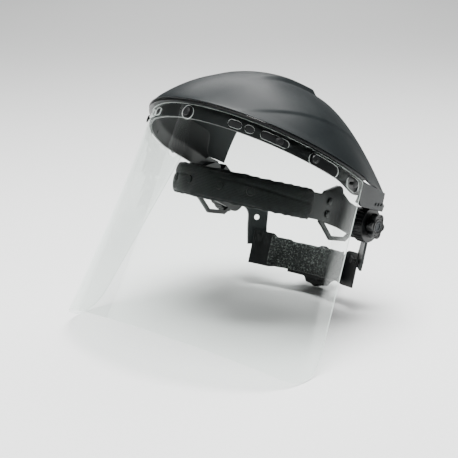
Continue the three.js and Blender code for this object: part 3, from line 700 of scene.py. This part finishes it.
def crown_face(across, over):
    """The crown's outer face as x, forward and up."""
    angle = across * math.pi / 2
    c = np.maximum(np.cos(angle), 0)
    s = np.sin(0.7 * angle) / math.sin(0.35 * math.pi)
    rear_up = REAR["high"] - (REAR["high"] - REAR["low"]) * np.abs(s) ** 2.25
    lip = np.stack([CROWN_HALF * np.sin(angle), CROWN_FRONT * c, LIP_HEIGHT + 0 * c], -1)
    rear = np.stack([REAR["half"] * s, REAR["rake"] * rear_up - REAR["back"], rear_up], -1)
    out = np.stack([0.9 * np.sin(angle), 0.48 * c, 0.88 * c + 0.12], -1)
    out /= np.linalg.norm(out, axis=-1, keepdims=True)
    swell = 0.114 * np.linalg.norm(lip - rear, axis=-1) * np.sin(math.pi * over ** 0.88) * c ** 0.8
    point = lip * (1 - over)[..., None] + rear * over[..., None] + out * swell[..., None]
    ridge = 4.4 * smooth(26.5, 19.5, np.abs(point[..., 0])) * smooth(0.32, 0.78, over)
    # The side panels sit a little below the middle one, behind a crease that runs back from the lip.
    crease = 0.23 + 0.42 * over ** 0.55
    drop = 0.8 * smooth(0, 0.02, np.abs(across) - crease) * smooth(-0.05, 0.1, over) * smooth(1.02, 0.7, over)
    return point + out * (ridge - drop)[..., None]


def crown_place(u, v, w):
    across, step = 2 * u - 1, 0.004
    u0, u1 = np.maximum(across - step, -1), np.minimum(across + step, 1)
    v0, v1 = np.maximum(v - step, 0), np.minimum(v + step, 1)
    normal = np.cross(crown_face(u1, v) - crown_face(u0, v), crown_face(across, v1) - crown_face(across, v0))
    normal /= np.linalg.norm(normal, axis=-1, keepdims=True)
    point = crown_face(across, v)
    away = np.sum(normal * (point + np.array([0, 10.0, 0])), -1, keepdims=True)
    point = point - normal * np.sign(away) * w * SHELL_THICKNESS
    return in_crown(np.stack([point[..., 0], -point[..., 1], np.maximum(point[..., 2], LIP_HEIGHT)], -1))


def make_crown_shell():
    shell = round_edges(mesh_object("crown_shell_moulded", *slab(180, 84, crown_place)), 0.5)
    finish_piece(shell, "crown", ["crown_shell"], [finish("crown")], 32)


def make_rim():
    reach, rear = TOP_BOW.half + RIM_REACH, TOP_BOW.half
    outer = -WINDOW_THICKNESS / 2 - 0.35

    def wall(u, v, w):
        s = (2 * u - 1) * reach
        top = 21 * smooth(rear - 110, rear - 70, np.abs(s))
        top = 0.4 + top * (1 - 0.8 * smooth(rear - 8, reach, np.abs(s)))
        low = -RIM_DROP + 10 * smooth(rear, reach, np.abs(s)) ** 2
        z = low + (top - low) * v
        tuck = smooth(rear - 42, rear + 4, np.abs(s)) * (RIM_TUCK + 0.17 * np.maximum(-z, 0))
        tuck = tuck + 0.6 * np.maximum(z - 1, 0)
        return in_crown(window_place(s, -z * WINDOW_HEIGHT / WINDOW_DROP, outer - tuck - RIM_WALL * w))

    def shelf(u, v, w):
        s = (2 * u - 1) * (TOP_BOW.half - 4)
        return in_crown(TOP_BOW.place(s, 0.3 + 2.35 * v, outer - RIM_WALL + 0.3 + (8.15 - 0.3) * (1 - w)))

    for name, form in (("rim_wall_moulded", slab(240, 16, wall)), ("rim_shelf_moulded", slab(220, 2, shelf))):
        piece = round_edges(mesh_object(name, *form), 0.5)
        finish_piece(piece, "crown", ["rim_frame"], [finish("frame")])


def make_window():
    edge = TOP_BOW.half
    corners = [(-edge, 0), (edge, 0), (edge, WINDOW_HEIGHT), (-edge, WINDOW_HEIGHT)]
    outline = rounded(corners, [3, 3, WINDOW_CORNER * 1.25, WINDOW_CORNER * 1.25], 14)
    holes = [circle(6.3, (0, HOLE_DROP + 0.3), 32)]
    for side in SIDES.values():
        for s, lower, length, height in WINDOW_SLOTS:
            holes.append(capsule(length, height, (side * s, HOLE_DROP + lower)))
    sheet = cut_sheet("window_sheet", outline, holes, 3.0, WINDOW_THICKNESS,
                      lambda a, b, offset: in_crown(window_place(a, b, offset)))
    finish_piece(sheet, "crown", ["window"], [finish("clear"), finish("edge")], 40)


def make_window_studs():
    profile = [(0.02, -4.3), (1.5, -4.3), (1.75, -4.0), (1.75, 1.3), (3.3, 1.35), (3.7, 1.6), (3.7, 2.1),
               (3.2, 2.7), (1.9, 3.0), (1.7, 2.6), (0.02, 2.6)]
    shape = turned_shape("stud shape", profile)
    s = np.array(STUD_PLACES, float)
    at = in_crown(window_place(s, 0 * s + HOLE_DROP + 0.3, 0.0))
    facing = in_crown(window_place(s, 0 * s + HOLE_DROP + 0.3, 1.0)) - at
    nodes = ["window_stud_front"] + [f"window_stud_{side}_{i}" for side in SIDES for i in (1, 2, 3)]
    repeat("window_studs", shape, at, facing, finish("frame"), "crown", nodes)


def make_ears():
    for side, sign in SIDES.items():
        ear = mould("ear_" + side, 0.5, "crown", "grey_plastic", "grey", "frame")
        for face in ear.data.polygons:
            face.material_index = 1 if abs(face.center.x) < EAR_PLATE_X else 0
        # Ribs round the hub, for the fingers.
        bar = mesh_object("rib shape", *rib_shape())
        angles = np.linspace(0, 2 * math.pi, 30, endpoint=False)
        radial = np.stack([0 * angles, np.cos(angles), np.sin(angles)], -1)
        middle = np.array([sign * (HUB_X[0] + HUB_X[1]) / 2, -PIVOT_IN_CROWN[0], PIVOT_IN_CROWN[1]])
        at = in_crown(middle + radial * HUB_RADIUS)
        facing = at - in_crown(middle + 0 * radial)
        repeat("hub_ribs_" + side, bar, at, facing, finish("frame"), "crown", [], "X")


def rib_shape():
    """A low bar along X with chamfered top edges, in metres."""
    half, low, high = 4.6, -0.4, 0.55
    section = [(-0.75, low), (0.75, low), (0.6, high - 0.25), (0.3, high), (-0.3, high), (-0.6, high - 0.25)]
    points = [(x / 1000, y / 1000, z / 1000) for x in (-half, half) for y, z in section]
    n = len(section)
    faces = [tuple(range(n)), tuple(range(2 * n - 1, n - 1, -1))]
    faces += [(i, (i + 1) % n, n + (i + 1) % n, n + i) for i in range(n)]
    return points, faces


# ---- tilt knobs ----

def make_tilt_knobs():
    back, front = KNOB_X
    profile = [(3.3, back), (8.8, back), (9.1, back + 0.3), (9.2, back + 1.8), (12.2, back + 2.0),
               (12.9, back + 2.3), (13.3, back + 3.0), (13.4, front - 2.4), (13.1, front - 1.2),
               (12.3, front - 0.35), (11.4, front), (10.7, front), (10.3, front - 0.35), (10.0, front - 0.9),
               (7.4, front - 0.9), (7.1, front - 0.5), (6.8, front), (5.9, front), (5.6, front - 0.3),
               (5.6, front - 2.0), (3.3, front - 2.0)]

    def lobed(r, theta):
        share = smooth(8.9, 12.4, r)
        return r - 3.3 * share * (0.5 - 0.5 * np.cos(6 * theta)) ** 1.4

    for side, sign in SIDES.items():
        points, faces = turned(profile, 120, lobed)
        points = points * np.array([sign, 1, 1])
        knob = mesh_object("tilt_knob_star_" + side, in_headgear(points), faces)
        body = side + "_knob"
        finish_piece(knob, body, ["tilt_knob_" + side], [finish("frame")], 50)
        mould("knob_nut_" + side, 0.2, body, "steel", "black_steel")
        colour_node("pivot_bolt_" + side, finish("black_steel"))
        mould("friction_washer_" + side, 0.25, "headband", "band_plastic", "band")


# ---- headgear ----

def make_side_brackets():
    radius = bpy.context.scene.shield_sizes.edge_radius
    for side in SIDES:
        mould("side_bracket_" + side, radius, "headband", "band_plastic", "band")


def make_headband():
    end = BAND_BOW.half + 6.5
    wide = BAND_BOW.half - (SWEAT_END - 60) + 9
    outline = rounded([(-end, -5.2), (end, -5.2), (end, 23.2), (wide + 2, 23.2), (wide - 1, 19.6),
                       (-wide + 1, 19.6), (-wide - 2, 23.2), (-end, 23.2)], [3, 3, 3, 1.5, 1.5, 1.5, 1.5, 3])
    holes = [circle(2.2, (side * (BAND_BOW.half + 0.5), h), 16) for side in (-1, 1) for h in (2, 14)]
    band = cut_sheet("headband_strip", outline, holes, 3.0, 2.2,
                     lambda a, b, offset: in_headgear(BAND_BOW.place(a, b, offset)))
    round_edges(band, 0.4)
    finish_piece(band, "headband", ["headband"], [finish("band"), finish("band")])
    # Rivets, each with a domed head outside and a flat one inside.
    profile = [(0.02, -4.7), (3.3, -4.7), (3.6, -4.4), (3.6, -3.6), (1.8, -3.5), (1.8, 3.6), (3.6, 3.7),
               (3.6, 4.1), (3.0, 4.7), (1.6, 5.05), (0.02, 5.15)]
    for level, height in (("upper", 14), ("lower", 2)):
        shape = turned_shape("rivet shape", profile)
        at = in_headgear([(sign * 77.5, -60.5, height) for sign in SIDES.values()])
        facing = [(sign, 0, 0) for sign in SIDES.values()]
        nodes = [f"{level}_rivet_{side}" for side in SIDES]
        repeat(f"{level}_rivets", shape, at, facing, finish("band"), "headband", nodes)


def points_of(piece):
    found = np.zeros(len(piece.data.vertices) * 3)
    piece.data.vertices.foreach_get("co", found)
    return found.reshape(-1, 3)


def swell(piece, voxel_mm, cap_mm, frames=14):
    """Fills a closed soft form by cloth simulation, each point kept within cap of where it was."""
    remesh = piece.modifiers.new("Even mesh", "REMESH")
    remesh.mode = "VOXEL"
    remesh.voxel_size = voxel_mm / 1000
    settle(piece)
    start = points_of(piece)
    scene = bpy.context.scene
    cloth = piece.modifiers.new("Padding", "CLOTH")
    cloth.settings.use_pressure = True
    cloth.settings.uniform_pressure_force = scene.shield_sizes.pad_pressure
    cloth.settings.effector_weights.gravity = 0.0
    cloth.settings.quality = 5
    for step in range(1, frames + 1):
        scene.frame_set(step)
    shift = points_of(piece.evaluated_get(bpy.context.evaluated_depsgraph_get())) - start
    size = np.linalg.norm(shift, axis=1, keepdims=True)
    shift *= np.minimum(1, cap_mm / 1000 / np.maximum(size, 1e-9))
    piece.modifiers.remove(cloth)
    piece.data.vertices.foreach_set("co", (start + shift).ravel())
    scene.frame_set(1)
    eased = piece.modifiers.new("Eased surface", "SMOOTH")
    eased.factor, eased.iterations = 0.5, 7
    finer = piece.modifiers.new("Soft surface", "SUBSURF")
    finer.levels = finer.render_levels = 2
    return settle(piece)


def mark_along(piece, bow):
    """Stores each point's millimetres along the band and up it, for the weave."""
    local = headgear_local(points_of(piece))
    along = np.stack([bow.length_at(local[:, 0], local[:, 1]), local[:, 2], 0 * local[:, 0]], -1)
    attribute = piece.data.attributes.new("along_band", "FLOAT_VECTOR", "POINT")
    attribute.data.foreach_set("vector", along.astype(np.float32).ravel())


def make_sweatband():
    end = BAND_BOW.half - (SWEAT_END - 60)

    def form(u, v, w):
        s = (2 * u - 1) * (end - 0.6)
        edge = np.minimum(np.minimum(u, 1 - u) * 2 * end / 7, 1)
        crown = np.sqrt(np.clip(1 - (1 - edge) ** 2, 0, 1))
        across = 2 * v - 1
        z = 7.5 + across * 15.7 * (0.86 + 0.14 * crown)
        bulge = np.sqrt(np.clip(1 - np.abs(across) ** 4, 0.25, 1)) * (0.6 + 0.4 * crown)
        offset = -1.7 + (1 - 2 * w) * 3.9 * bulge
        return in_headgear(BAND_BOW.place(s, z, offset))

    pad = swell(mesh_object("sweatband_padded", *slab(110, 16, form)), 2.6, 1.0)
    # Creases where the cloth is drawn round the band, and the dimples under the snaps.
    local = headgear_local(points_of(pad))
    s = BAND_BOW.length_at(local[:, 0], local[:, 1])
    x, y, nx, ny = BAND_BOW.at(s)
    offset = (local[:, 0] - x) * nx + (local[:, 1] - y) * ny
    front = smooth(-1.5, 0.5, offset)
    line = 14.5 - 0.045 * np.abs(s) + 1.2 * np.sin(s / 23.0)
    crease = np.exp(-((local[:, 2] - line) / 1.5) ** 2) * smooth(4, 30, np.abs(s))
    wrinkle = np.zeros(len(s))
    folds = ((118, 4.0, 0.5, 2.0), (126, 9.0, 0.35, 1.7), (133, 6.0, -0.4, 1.6), (96, 17.0, 0.2, 1.8))
    for at, height, slope, width in folds:
        run = np.abs(s) - at
        ridge = np.exp(-((local[:, 2] - height - slope * run) / width) ** 2)
        wrinkle += ridge * np.exp(-(run / 7.5) ** 2)
    dimple = sum(
        np.exp(-(((np.abs(s) - at) / 6.5) ** 2 + ((local[:, 2] - 7.5) / 6.5) ** 2)) for at in (18, 47))
    wave = 0.35 * np.sin(s / 9.0) * np.sin(local[:, 2] / 5.0 + s / 31.0)
    push = front * (-0.9 * crease + 0.7 * wrinkle - 0.8 * dimple + wave)
    local[:, 0] += nx * push
    local[:, 1] += ny * push
    pad.data.vertices.foreach_set("co", in_headgear(local).ravel())
    mark_along(pad, BAND_BOW)
    finish_piece(pad, "headband", ["sweatband"], [finish("cloth")], 60)
    # Low snap caps, covered in the same cloth.
    profile = [(0.02, -1.2), (3.7, -1.2), (3.9, -0.6), (3.7, 0.1), (3.2, 0.35), (2.7, 0.1), (2.2, 0.15),
               (1.2, 0.3), (0.02, 0.35)]
    for name, at in (("front", 18), ("side", 47)):
        shape = turned_shape("snap shape", profile)
        s = np.array([at, -at], float)
        place = BAND_BOW.place(s, 7.5, 2.6)
        facing = in_headgear(BAND_BOW.place(s, 7.5, 3.6)) - in_headgear(place)
        nodes = [f"sweatband_snap_{name}_{side}" for side in SIDES]
        repeat(f"sweatband_snaps_{name}", shape, in_headgear(place), facing, finish("cloth"), "headband",
               nodes)


# ---- nape ----

def make_nape_arms():
    for side in SIDES:
        mould("nape_arm_" + side, 0.45, "nape", "grey_plastic", "arm")
        mould("nape_pin_" + side, 0.35, "nape", "band_plastic", "band")


def strap_outline(end):
    """A strap's edge from its rack end, past the middle, to its wide end at the arm."""
    low_rack, high_rack = RATCHET_HEIGHT - 8.5, RATCHET_HEIGHT + 8.5
    s = np.linspace(31, 50, 12)
    grow = smooth(31, 50, s)
    low = np.stack([s, low_rack + (NAPE_LOW - low_rack) * grow], -1)
    high = np.stack([s, high_rack + (NAPE_HIGH - high_rack) * grow], -1)
    ends = rounded([(end, NAPE_LOW), (end, NAPE_HIGH)], 0.01, 1)
    tip = rounded([(-24, high_rack), (-24, low_rack)], 0.01, 1)
    return np.concatenate([low, ends, high[::-1], tip])


def make_nape_straps():
    end = STRAP_BOW.half - 28
    # A rack of teeth along the slot's lower edge, which the pinion climbs.
    top = [(28, RATCHET_HEIGHT + 4.5), (-18, RATCHET_HEIGHT + 4.5)]
    teeth = []
    for i in range(16):
        x = -18 + 46 * i / 16
        teeth += [(x, RATCHET_HEIGHT - 4.5), (x + 1.4, RATCHET_HEIGHT - 3.4)]
    teeth.append((28, RATCHET_HEIGHT - 4.5))
    pin_s = float(STRAP_BOW.length_at(60.9, 36.4))
    for side, sign, middle in (("left", 1, 0.95), ("right", -1, -0.95)):
        holes = [np.array(teeth + top, float), circle(2.9, (pin_s, -38), 16)]
        strap = cut_sheet(
            "nape_strap_rack_" + side, strap_outline(end), holes, 3.0, 1.5,
            lambda a, b, offset: in_headgear(STRAP_BOW.place(a, b, offset + middle) * np.array([sign, 1, 1])))
        finish_piece(strap, "nape", ["nape_strap_" + side], [finish("band"), finish("band")])


def make_nape_pad():
    def form(u, v, w):
        s = (2 * u - 1) * 51.6
        across = 2 * v - 1
        ends = np.sqrt(np.clip(1 - np.abs(2 * u - 1) ** 14, 0.05, 1))
        middle = (NAPE_LOW + NAPE_HIGH) / 2
        sag = 1.1 * (1 - (2 * u - 1) ** 2)
        z = middle + across * 17.3 - sag * (0.5 + 0.5 * across)
        bulge = np.sqrt(np.clip(1 - np.abs(across) ** 6, 0.3, 1)) * ends
        return in_headgear(STRAP_BOW.place(s, z, -6.5 - (1 - 2 * w) * 2.1 * bulge))

    pad = swell(mesh_object("nape_pad_foam", *slab(60, 18, form)), 2.2, 0.7)
    finish_piece(pad, "nape", ["nape_pad"], [finish("foam")], 60)


# ---- ratchet ----

def make_ratchet():
    back, deep = RATCHET_BACK, RATCHET_DEEP
    front = back - deep
    profile = [(1.5, front), (19.5, front), (21.0, front + 0.4), (21.8, front + 1.4), (22.0, front + 2.6),
               (22.0, back - 2.6), (21.7, back - 1.3), (20.9, back - 0.4), (19.6, back), (16.2, back),
               (15.5, back - 0.3), (15.2, back - 1.0), (14.7, back - 2.7), (14.0, back - 3.0),
               (1.5, back - 3.0)]

    def grips(r, theta):
        share = smooth(17.5, 21.0, r)
        return r - 1.5 * share * (0.5 - 0.5 * np.cos(12 * theta)) ** 0.8

    points, faces = turned(profile, 192, grips)
    points = np.stack([points[:, 1], points[:, 0], points[:, 2] + RATCHET_HEIGHT], -1)
    knob = mesh_object("ratchet_knob_dial", in_headgear(points), faces)
    finish_piece(knob, "ratchet", ["ratchet_knob"], [finish("frame")], 50)
    mould("ratchet_housing", 0.9, "nape", "frame_plastic", "frame")
    mould("ratchet_cover", 0.3, "nape", "frame_plastic", "frame")
    mould("knob_screw", 0.2, "ratchet", "steel", "black_steel")
    for node, key in (("ratchet_wheel", "band"), ("ratchet_pinion", "band"), ("pawl_spring", "steel")):
        colour_node(node, finish(key))


# ---- operators ----

def maker(name, label, text, *steps):
    """One Operator class for a piece or group of like pieces."""
    def execute(self, context):
        for step in steps:
            step()
        return {"FINISHED"}

    return type("SHIELD_OT_" + name, (bpy.types.Operator,), {
        "bl_idname": "shield." + name, "bl_label": label, "__doc__": text, "execute": execute})


OPERATORS = [
    maker("stage", "Stage", "Makes the paper floor, the soft lights and the camera",
          make_floor, make_lights, make_camera),
    maker("crown_shell", "Crown shell", "Makes the crown with its ridge and creases", make_crown_shell),
    maker("rim", "Rim frame", "Makes the wall and shelf that carry the window", make_rim),
    maker("window", "Window", "Makes the bent clear sheet with its cut holes", make_window),
    maker("window_studs", "Window studs", "Makes the studs that hold the window", make_window_studs),
    maker("ears", "Ears", "Makes the grey ears and their ribbed hubs", make_ears),
    maker("tilt_knobs", "Tilt knobs", "Makes the star knobs, nuts and washers", make_tilt_knobs),
    maker("side_brackets", "Side brackets", "Makes the brackets with their open loops", make_side_brackets),
    maker("headband", "Headband", "Makes the headband and its rivets", make_headband),
    maker("sweatband", "Sweatband", "Makes the padded brow cloth and its snaps", make_sweatband),
    maker("nape_arms", "Nape arms", "Makes the arms down to the nape, with their pins", make_nape_arms),
    maker("nape_straps", "Nape straps", "Makes the two racked straps", make_nape_straps),
    maker("nape_pad", "Nape pad", "Makes the foam pad", make_nape_pad),
    maker("ratchet", "Ratchet", "Makes the ratchet's dial, housing and works", make_ratchet),
]


class SHIELD_PT_panel(bpy.types.Panel):
    """The pieces and settings of the face shield."""

    bl_label = "Face shield"
    bl_idname = "SHIELD_PT_panel"
    bl_space_type = "VIEW_3D"
    bl_region_type = "UI"
    bl_category = "Face shield"

    def draw(self, context):
        for settings in (context.scene.shield_sizes, context.scene.shield_colours):
            for key in settings.__annotations__:
                self.layout.prop(settings, key)
        for operator in OPERATORS:
            self.layout.operator(operator.bl_idname)


CLASSES = [ShieldSizes, ShieldColours, *OPERATORS, SHIELD_PT_panel]


def register():
    for kind in CLASSES:
        bpy.utils.register_class(kind)
    bpy.types.Scene.shield_sizes = PointerProperty(type=ShieldSizes)
    bpy.types.Scene.shield_colours = PointerProperty(type=ShieldColours)


def unregister():
    del bpy.types.Scene.shield_colours
    del bpy.types.Scene.shield_sizes
    for kind in reversed(CLASSES):
        bpy.utils.unregister_class(kind)


def main():
    register()
    for operator in OPERATORS:
        result = getattr(bpy.ops.shield, operator.bl_idname.split(".")[1])()
        if result != {"FINISHED"}:
            raise RuntimeError(operator.bl_label + " was not finished")


if __name__ == "__main__":
    main()
